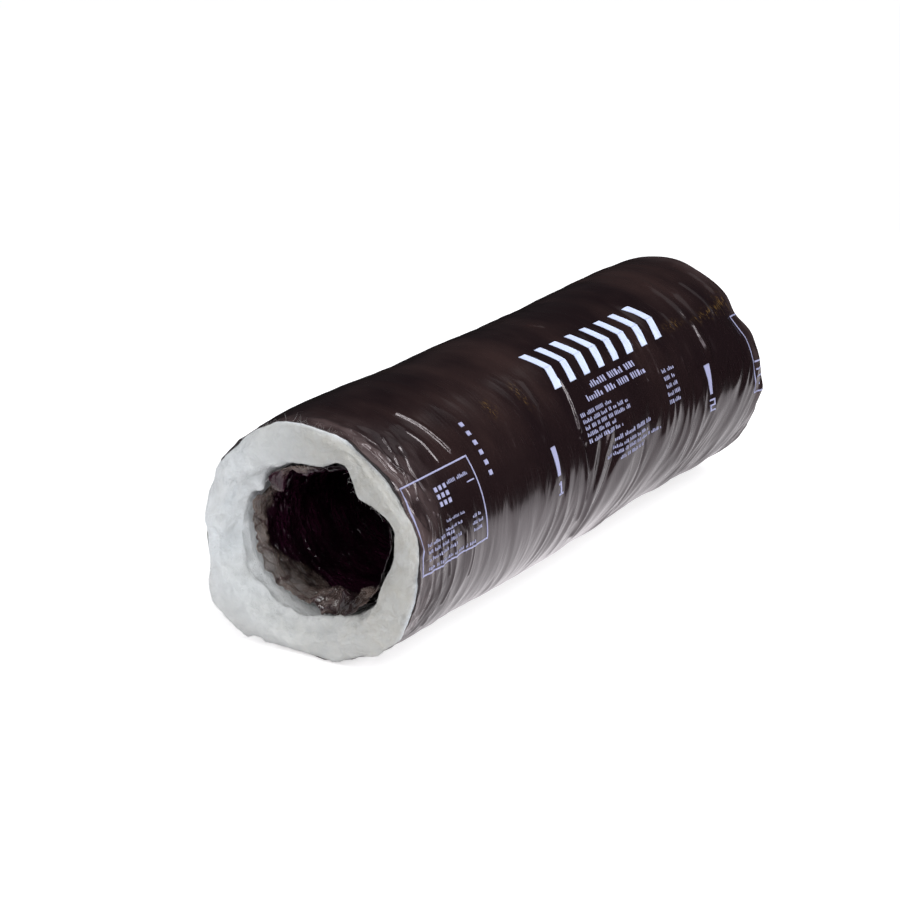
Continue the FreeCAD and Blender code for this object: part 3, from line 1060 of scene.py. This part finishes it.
def makeInnerFilm(span):
    s = coreSettings
    angle = anglesRound(s["columns"])[None, :]
    start, end = max(span["from"], coreFront), min(span["to"], coreRear)

    def points(spacing, outward):
        # the first and last stretch are pushed in to the film's uneven edges
        x, _ = np.broadcast_arrays(placesAlong(start, end, spacing)[:, None], angle)
        if span is spans[0]:
            edge = coreFront + filmEdge(angle, "front")
            x = edge + (x - start) * (end - edge) / (end - start)
        if span is spans[-1]:
            edge = coreRear - filmEdge(angle, "rear")
            x = start + (x - start) * (edge - start) / (end - start)
        return tubePoints(x, angle, innerFilmRadius(x, angle) + outward)

    front = points(s["rowSpacing"], 0)
    back = points(s["backSpacing"], s["filmThickness"])
    back[1:-1] = points(s["backSpacing"], s["backDepth"])[1:-1]
    piece = shellPiece("innerFilm" + span["name"], back, front, coreFilm)
    x = np.concatenate([back, front[::-1]])[..., 0]
    setShare(piece, "clear", clearShare(x, angle))
    return piece


def makeOuterFilm(span):
    # The outer ply lies over the wire.
    s = coreSettings
    angle = anglesRound(s["outerPlyColumns"])[None, :]
    start = max(span["from"], coreFront + s["outerPlyStart"])
    end = min(span["to"], coreRear - s["outerPlyEnd"])
    x = placesAlong(start, end, s["outerPlySpacing"])[:, None]
    radius = outerFilmRadius - s["outerPlyInset"] - ribSag(x, angle) + bothFlares(x, angle)
    outer, inner = tubePoints(x, angle, radius), tubePoints(x, angle, radius - s["filmThickness"])
    return shellPiece("outerFilm" + span["name"], outer, inner, coreFilm)


wireSettings = {"diameter": 0.0013, "sides": 8, "stepsPerTurn": 60}


def makeWire(span):
    # A helix: one turn for each rib's pitch, with a round section square to its run.
    s = wireSettings
    start, end = max(span["from"], wireFront), min(span["to"], wireRear)
    pitch = coreSettings["ribPitch"]
    count = int((end - start) / pitch * s["stepsPerTurn"])
    x = np.linspace(start, end, count + 1)
    turn = 2 * np.pi * (x - wireFront) / pitch
    centre = tubePoints(x, turn, wireReach - s["diameter"] / 2 + bothFlares(x, turn))
    outward = np.stack([0 * x, np.cos(turn), np.sin(turn)], axis=-1)
    spin = anglesRound(s["sides"])[None, :, None]
    ring = outward[:, None] * np.cos(spin) + np.array([1.0, 0.0, 0.0]) * np.sin(spin)
    points = centre[:, None] + s["diameter"] / 2 * ring
    faces = gridFaces(len(points), s["sides"], False, True)[:, ::-1]
    firstRing = np.arange(s["sides"])
    lastRing = firstRing + (len(points) - 1) * s["sides"]
    ends = np.stack([firstRing, lastRing[::-1]])
    return makePiece("wire" + span["name"], points, [faces, ends], springWire)


# Loose fibres of the wool at both mouths

fibreSettings = {
    "count": 4200,
    "length": (0.004, 0.013),
    "lift": (0.0004, 0.0032),
    "radius": 0.00009,
    "taper": 0.6,
    "rings": 5,
    "sides": 3,
    # a fibre's arc as a share of a half turn, its curl aside as a share of its length, how deep it
    # is rooted, and how far (radians) it turns from the way round the mouth
    "arc": 0.75,
    "curl": 0.25,
    "rootDepth": 0.0004,
    "turnSpread": 0.9,
    # the rows of the face that fibres stand on, as shares of all, and the share of the fibres that
    # stand on the first of them only
    "firstRow": {"front": 0.14, "rear": 0.34},
    "lastRow": 0.93,
    "edgeRows": 0.16,
    "edgeShare": 0.2,
    "floorGap": 0.0002,
}


def unit(vectors):
    return vectors / np.maximum(np.linalg.norm(vectors, axis=-1, keepdims=True), 1e-9)


def makeFibres(side):
    # Each fibre is a thin three-sided tube on an arc that leaves the wool's face and comes back
    # towards it: root + way * length * u + outward * lift * sin(pi * arc * u).
    s = fibreSettings
    count, rings, sides = s["count"], s["rings"], s["sides"]
    rng = np.random.default_rng(seeds[side + "Fibres"])
    face = woolFace(side)
    rows, columns = face.shape[:2]
    downWay = unit(np.gradient(face, axis=0))
    roundWay = unit(np.roll(face, -1, 1) - np.roll(face, 1, 1))
    outward = unit(np.cross(roundWay, downWay)) * (1 if side == "front" else -1)
    firstRow = int(rows * s["firstRow"][side])
    i = rng.integers(firstRow, int(rows * s["lastRow"]), count)
    near = rng.random(count) < s["edgeShare"]
    i = np.where(near, rng.integers(firstRow, firstRow + int(rows * s["edgeRows"]), count), i)
    j = rng.integers(0, columns, count)
    turn = rng.normal(0, s["turnSpread"], count)[:, None]
    flip = rng.choice([-1.0, 1.0], count)[:, None]
    length = rng.uniform(*s["length"], count)[:, None, None]
    lift = rng.uniform(*s["lift"], count)[:, None, None]
    curl = rng.uniform(-s["curl"], s["curl"], count)[:, None, None] * length
    way = unit(flip * roundWay[i, j] * np.cos(turn) + downWay[i, j] * np.sin(turn))
    sideways = unit(np.cross(way, outward[i, j]))[:, None]
    rise = outward[i, j][:, None]
    u = np.linspace(0, 1, rings)[None, :, None]
    root = face[i, j][:, None] - s["rootDepth"] * rise
    spine = root + way[:, None] * length * u + rise * lift * np.sin(np.pi * s["arc"] * u)
    spine = spine + sideways * curl * u**2
    radius = s["radius"] * (1 - s["taper"] * u[..., None])
    spin = anglesRound(sides)[None, None, :, None]
    ring = rise[:, :, None] * np.cos(spin) + sideways[:, :, None] * np.sin(spin)
    points = spine[:, :, None] + radius * ring
    points[..., 2] = np.maximum(points[..., 2], s["floorGap"])
    start = (np.arange(count) * rings * sides)[:, None]
    sleeve = (start[:, :, None] + gridFaces(rings, sides, False, True)[None]).reshape(-1, 4)
    foot = np.arange(sides)
    caps = np.concatenate([start + foot, start + rings * sides - 1 - foot])
    return makePiece("woolFibres" + side.capitalize(), points, [sleeve, caps], glassWool)


# Print on the jacket: plain bars, frames, chevrons and foot marks, laid out in mm from the
# front rim and degrees round

printSettings = {
    "lift": 0.00025,
    "sink": 0.0003,
    # mesh steps along and round the duct (mm)
    "steps": (1.0, 1.6),
    "mmPerDegree": 2.14,
    # rows of small blocks: (from, to, angle, height mm)
    "rows": [
        (72, 108, 149, 3.6), (52, 82, 164, 2.6), (48, 78, 167.5, 2.6),
        (14, 62, 169.5, 3.2), (14, 74, 172.6, 3.2), (14, 66, 175.7, 3.2), (14, 98, 179.6, 3.0),
        (94, 110, 168.0, 3.2), (92, 110, 171.1, 3.2), (93, 110, 174.2, 3.2),
        (351, 442, 139.2, 7.0), (333, 452, 144.6, 7.0),
        (309, 372, 150.6, 4.2), (309, 398, 153.8, 4.2), (309, 400, 157.0, 4.2),
        (309, 366, 160.2, 4.2), (309, 376, 163.4, 4.2),
        (478, 503, 149.8, 4.4), (477, 500, 153.8, 4.4), (476, 500, 157.8, 4.4),
        (474, 501, 161.8, 4.4), (474, 501, 165.8, 4.4),
        (357, 436, 168.6, 4.6), (352, 426, 172.4, 3.6), (338, 454, 175.4, 3.6), (362, 420, 178.6, 3.6),
        (666, 669, 181.5, 3.0),
    ],
    # how many blocks stand together, then in shares of a row's height: how wide they are, how far
    # they rise over its middle, and the gaps after a block and after a group
    "blocksTogether": (2, 8),
    "blockWidth": (0.28, 0.5),
    "blockTops": [0.5, 0.5, 0.15],
    "blockGap": 0.3,
    "groupGap": 0.7,
    # (from, to, first angle, last angle, line mm)
    "frames": [(4, 117, 142, 182, 1.7), (655, 672, 140, 186, 1.7)],
    "dots": {"place": 50, "angle": 148.5, "rows": 3, "columns": 3, "size": 4.6, "gap": 2.6},
    # (from, to, first angle, last angle)
    "bars": [
        (660, 671, 168.0, 168.9), (660, 671, 172.2, 173.1), (660, 671, 176.4, 177.3),
        (100, 112, 152.6, 153.2),
    ],
    # (place, first angle, last angle, width at the top and at the bottom)
    "ticks": [(246, 157, 171, 8.5, 6.5), (560, 157, 173, 11.0, 5.0)],
    "numbers": [(242, 174, "1"), (555, 175.5, "2")],
    "numberSize": (11.0, 14.0),
    "stamps": {"place": 140, "angles": (129, 154), "count": 6, "size": (6.0, 5.0)},
    "chevrons": {"from": 296, "count": 8, "pitch": 29, "stroke": 12, "point": 12, "angles": (110.5, 134)},
}

# The strokes of plain numbers, each (left, top, right, bottom) in shares of the number's box
numberStrokes = {
    "1": [(0.38, 0.0, 0.66, 1.0), (0.14, 0.08, 0.38, 0.22), (0.12, 0.86, 0.92, 1.0)],
    "2": [
        (0.0, 0.0, 1.0, 0.14), (0.76, 0.14, 1.0, 0.43), (0.0, 0.43, 1.0, 0.57),
        (0.0, 0.57, 0.24, 0.86), (0.0, 0.86, 1.0, 1.0),
    ],
}


def printPatches():
    # Every patch of ink as four corners: front top, rear top, rear bottom and front bottom. A
    # corner is (mm, degrees, how thin the ink is).
    s = printSettings
    perMm = 1 / s["mmPerDegree"]
    patches, bold = [], []

    def box(x0, x1, a0, a1):
        patches.append([(x0, a0), (x1, a0), (x1, a1), (x0, a1)])

    rng = np.random.default_rng(seeds["print"])
    for x0, x1, angle, height in s["rows"]:
        x = x0
        while x < x1:
            for _ in range(int(rng.integers(*s["blocksTogether"]))):
                wide = height * rng.uniform(*s["blockWidth"])
                if x + wide > x1:
                    break
                top = height * rng.choice(s["blockTops"])
                box(x, x + wide, angle - top * perMm, angle + height / 2 * perMm)
                x += wide + height * s["blockGap"]
            x += height * s["groupGap"]
    for x0, x1, a0, a1, line in s["frames"]:
        thin = line * perMm
        box(x0, x1, a0, a0 + thin)
        box(x0, x1, a1 - thin, a1)
        box(x0, x0 + line, a0 + thin, a1 - thin)
        if x1 < (rearRim - frontRim) * 1000:
            box(x1 - line, x1, a0 + thin, a1 - thin)
    for bar in s["bars"]:
        box(*bar)
    for place, a0, a1, top, bottom in s["ticks"]:
        upper = [(place - top / 2, a0), (place + top / 2, a0)]
        patches.append(upper + [(place + bottom / 2, a1), (place - bottom / 2, a1)])
    wide, tall = s["numberSize"][0], s["numberSize"][1] * perMm
    for x, angle, digit in s["numbers"]:
        for left, top, right, bottom in numberStrokes[digit]:
            box(x + left * wide, x + right * wide, angle + top * tall, angle + bottom * tall)
    dots = s["dots"]
    pitch = dots["size"] + dots["gap"]
    for row, column in np.ndindex(dots["rows"], dots["columns"]):
        x, angle = dots["place"] + column * pitch, dots["angle"] + row * pitch * perMm
        box(x, x + dots["size"], angle, angle + dots["size"] * perMm)
    stamps = s["stamps"]
    wide, tall = stamps["size"][0] / 2, stamps["size"][1] / 2 * perMm
    for angle in np.linspace(*stamps["angles"], stamps["count"]):
        box(stamps["place"] - wide, stamps["place"] + wide, angle - tall, angle + tall)
    c = s["chevrons"]
    top, bottom = c["angles"]
    middle = (top + bottom) / 2
    for n in range(c["count"]):
        x, w, d = c["from"] + n * c["pitch"], c["stroke"], c["point"]
        bold.append([(x, top), (x + w, top), (x + w + d, middle), (x + d, middle)])
        bold.append([(x + d, middle), (x + w + d, middle), (x + w, bottom), (x, bottom)])
    inked = [(patch, 1.0) for patch in patches] + [(patch, 0.0) for patch in bold]
    return [np.array([(*corner, thin) for corner in patch]) for patch, thin in inked]


def cutPatch(patch, places):
    # Parts a patch where its middle line crosses a place between two spans.
    left, right = (patch[0, 0] + patch[3, 0]) / 2, (patch[1, 0] + patch[2, 0]) / 2
    shares = [0.0] + [(at - left) / (right - left) for at in places if left < at < right] + [1.0]
    for low, high in zip(shares[:-1], shares[1:]):
        top = [patch[0] + (patch[1] - patch[0]) * t for t in (low, high)]
        foot = [patch[3] + (patch[2] - patch[3]) * t for t in (high, low)]
        yield np.array(top + foot)


def inkPatch(patch):
    # A thin closed slab that follows the film: its top stands just off the film, its foot in it.
    s = printSettings
    sizeX = np.abs(patch[1:3, 0] - patch[[0, 3], 0]).max()
    sizeA = np.abs(patch[2:, 1] - patch[1::-1, 1]).max() * s["mmPerDegree"]
    sizeX = max(sizeX, np.abs(patch[0, 0] - patch[3, 0]))
    nu, nv = [max(2, int(size / step)) for size, step in zip((sizeX, sizeA), s["steps"])]
    u, v = np.meshgrid(np.linspace(0, 1, nu + 1), np.linspace(0, 1, nv + 1), indexing="ij")
    u, v = u[..., None], v[..., None]
    flat = (patch[0] * (1 - u) + patch[1] * u) * (1 - v) + (patch[3] * (1 - u) + patch[2] * u) * v
    x, angle = frontRim + flat[..., 0] / 1000, np.radians(flat[..., 1])
    top = jacketPoints(x, angle, inward=-s["lift"])
    foot = jacketPoints(x, angle, inward=s["sink"])
    count = (nu + 1) * (nv + 1)
    faces = gridFaces(nu + 1, nv + 1, False, False)
    index = np.arange(count).reshape(nu + 1, nv + 1)
    rim = np.concatenate([index[:-1, 0], index[-1, :-1], index[:0:-1, -1], index[0, :0:-1]])
    after = np.roll(rim, -1)
    walls = np.stack([rim, after, after + count, rim + count], axis=-1)
    faces = np.concatenate([faces, faces[:, ::-1] + count, walls[:, ::-1]])
    points = np.concatenate([top.reshape(-1, 3), foot.reshape(-1, 3)])
    return points, faces, np.tile(flat[..., 2].ravel(), 2)


def makePrint():
    places = [(span["to"] - frontRim) * 1000 for span in spans[:-1]]
    inked = [[] for span in spans]
    for patch in printPatches():
        for part in cutPatch(patch, places):
            inked[np.searchsorted(places, part[:, 0].mean())].append(inkPatch(part))
    for span, parts in zip(spans, inked):
        points, faces, thin = zip(*parts)
        shift = np.cumsum([0] + [len(group) for group in points])[:-1]
        faces = np.concatenate([group + by for group, by in zip(faces, shift)])
        piece = makePiece("print" + span["name"], np.concatenate(points), faces, printInk)
        setShare(piece, "thin", np.concatenate(thin))
        followSpan(piece)


layerMakers = {
    "jacket": makeJacket,
    "blanket": makeBlanket,
    "outer_film": makeOuterFilm,
    "wire_helix": makeWire,
    "inner_film": makeInnerFilm,
}
coreLayers = ("outer_film", "wire_helix", "inner_film")
# which CAD lengths each span's pieces stand for
stoodFor = {"Mouth": ["front"], "Bend": ["bend_zone"], "Waist": ["middle"], "Tail": ["gather_zone", "rear"]}
for layer, make in layerMakers.items():
    for span in spans:
        piece = make(span)
        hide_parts(*[layer + "_" + length for length in stoodFor[span["name"]]])
        if layer in coreLayers and span is spans[0]:
            # the core stays put while the blanket is peeled back over it
            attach(piece, "front_core")
        else:
            followSpan(piece)
    print(layer, "made")

followSpan(makeFibres("front"))
followSpan(makeFibres("rear"))
makePrint()
print("fibres and print made")

# Stage, light and camera

stageSettings = {
    "floorSize": 40.0,
    "floorGap": 0.0002,
    # the white sheet that the film mirrors: half sizes round which it reaches out, and its soft edge
    "sheetHalf": (0.40, 0.10),
    "sheetReach": 0.31,
    "sheetEdge": 0.09,
    # the paler floor that lights the duct from below
    "bounceReach": 0.7,
    "bounceEdge": 0.3,
    "shadowLift": 0.62,
    # how bright the mirrored sheet is, from front to middle and on to the rear: (X, X, share, share)
    "sheetFront": (-0.22, -0.04, 0.80, 1.40),
    "sheetRear": (0.06, 0.22, 1.0, 0.62),
    "sheetColor": (0.93, 0.93, 0.94, 1),
    "sheetInGloss": 0.3,
    "mirrorTint": (1, 0.95, 0.985, 1),
    "beyond": (0.03, 0.03, 0.03, 1),
    # the room, as a dim fill and as a dark studio to the film's gloss
    "room": (0.22, 0.22, 0.23, 1),
    "roomInGloss": (0.03, 0.026, 0.028, 1),
}
white = (1, 1, 1, 1)


def addAway(tree, half):
    # The way over the floor from a rectangle round the duct.
    place = addNode(tree, "ShaderNodeTexCoord").outputs["Object"]
    apart = addNode(tree, "ShaderNodeSeparateXYZ", Vector=place)
    squares = []
    for axis, reach in zip("XY", half):
        past = addMath(tree, "SUBTRACT", addMath(tree, "ABSOLUTE", apart.outputs[axis]), reach)
        past = addMath(tree, "MAXIMUM", past, 0.0)
        squares.append(addProduct(tree, past, past))
    return addMath(tree, "SQRT", addMath(tree, "ADD", *squares)), apart.outputs["X"]


def makeFloor():
    s = stageSettings
    half = s["floorSize"] / 2
    corners = [(-half, -half), (half, -half), (half, half), (-half, half)]
    mesh = bpy.data.meshes.new("floor")
    mesh.from_pydata([(x, y, -s["floorGap"]) for x, y in corners], [], [(0, 1, 2, 3)])
    floor = addObject("floor", mesh)
    material, tree, shader = newMaterial("whiteSheet")
    # white near the duct and dim beyond, which the camera alone sees as white
    away, alongX = addAway(tree, s["sheetHalf"])
    sheet = addRange(tree, away, s["sheetReach"], s["sheetReach"] + s["sheetEdge"], 1.0, 0.0)
    bounce = addRange(tree, away, s["bounceReach"], s["bounceReach"] + s["bounceEdge"], 1.0, 0.0)
    light = addNode(tree, "ShaderNodeLightPath").outputs
    camera = light["Is Camera Ray"]
    mirror = addMath(tree, "MAXIMUM", light["Is Glossy Ray"], light["Is Transmission Ray"])
    mirrored = addProduct(tree, mirror, sheet)
    pale = addProduct(tree, bounce, addMath(tree, "SUBTRACT", 1.0, mirror))
    pale = addMath(tree, "MAXIMUM", pale, addProduct(tree, mirrored, s["sheetInGloss"]))
    seen = addProduct(tree, camera, addRange(tree, bounce, 0.0, 1.0, 1.0, s["shadowLift"]))
    bright = addRange(tree, alongX, *s["sheetFront"])
    bright = addProduct(tree, mirrored, bright, addRange(tree, alongX, *s["sheetRear"]))
    setSockets(
        tree,
        shader,
        Base_Color=addMix(tree, pale, s["beyond"], s["sheetColor"]),
        Roughness=0.9,
        Specular_IOR_Level=0.0,
        Emission_Color=addMix(tree, camera, s["mirrorTint"], white),
        Emission_Strength=addMath(tree, "ADD", seen, bright),
    )
    mesh.materials.append(material)


def makeWorld():
    s = stageSettings
    world = bpy.data.worlds.new("studio")
    bpy.context.scene.world = world
    world.use_nodes = True
    tree = world.node_tree
    tree.nodes.clear()
    light = addNode(tree, "ShaderNodeLightPath").outputs
    room = addMix(tree, light["Is Glossy Ray"], s["room"], s["roomInGloss"])
    seen = addMix(tree, light["Is Camera Ray"], room, white)
    background = addNode(tree, "ShaderNodeBackground", Color=seen).outputs["Background"]
    addNode(tree, "ShaderNodeOutputWorld", Surface=background)


# Lamps: name, place, aim, size, watts and colour
lamps = [
    ("keyLamp", (-2.3, -0.8, 1.5), (-0.2, 0, 0.12), (0.8, 0.8), 8, (1, 1, 1)),
    ("mouthLamp", (-0.95, -2.3, 1.3), (-0.3, 0, 0.12), (0.7, 0.7), 28, (1, 1, 1)),
    ("glintLamp", (-0.35, 2.3, 0.7), (-0.3, 0, 0.1), (0.3, 0.3), 7, (1, 1, 1)),
    ("flashLamp", (-2.4, -1.5, 1.6), (-0.3, 0, 0.12), (0.16, 0.16), 3, (1, 1, 1)),
    ("leftLamp", (-1.9, 1.5, 1.4), (-0.3, 0, 0.1), (0.8, 0.8), 17.5, (1, 1, 1)),
    # a long strip over the -Y side that the film's creases mirror
    ("stripLamp", (0.18, -1.0, 2.05), (0, 0, 0.12), (0.3, 1.9), 24, (1, 1, 1)),
    # a low one at the side for the creases under it
    ("sideLamp", (0.55, -2.0, 1.35), (0.1, 0, 0.12), (1.0, 0.3), 3.7, (1.0, 0.93, 0.98)),
    # a wide dim panel that gives the film's broad folds a faint sheen
    ("skyPanel", (1.1, -0.35, 2.1), (0, 0, 0.15), (1.3, 1.3), 1.8, (1, 1, 1)),
]


def makeLamp(name, place, aim, size, watts, color):
    lamp = bpy.data.lights.new(name, "AREA")
    lamp.shape = "RECTANGLE"
    lamp.size, lamp.size_y = size
    lamp.energy = watts
    lamp.color = color
    holder = addObject(name, lamp)
    holder.location = place
    holder.rotation_euler = (Vector(aim) - Vector(place)).to_track_quat("-Z", "Y").to_euler()


# The photograph's camera: its place, the way it looks, its lens and its film's width (mm)
cameraSettings = {
    "place": (-2.239, -1.437, 1.070),
    "way": (0.7817, 0.5234, -0.3392),
    "lens": 110,
    "filmWidth": 36,
}


def makeCamera():
    s = cameraSettings
    data = bpy.data.cameras.new("camera")
    data.sensor_width = s["filmWidth"]
    data.lens = s["lens"]
    camera = addObject("camera", data)
    camera.location = s["place"]
    camera.rotation_euler = Vector(s["way"]).to_track_quat("-Z", "Y").to_euler()
    bpy.context.scene.camera = camera


makeFloor()
makeWorld()
for lamp in lamps:
    makeLamp(*lamp)
makeCamera()
bpy.context.scene.view_settings.view_transform = "Standard"
print("stage set")
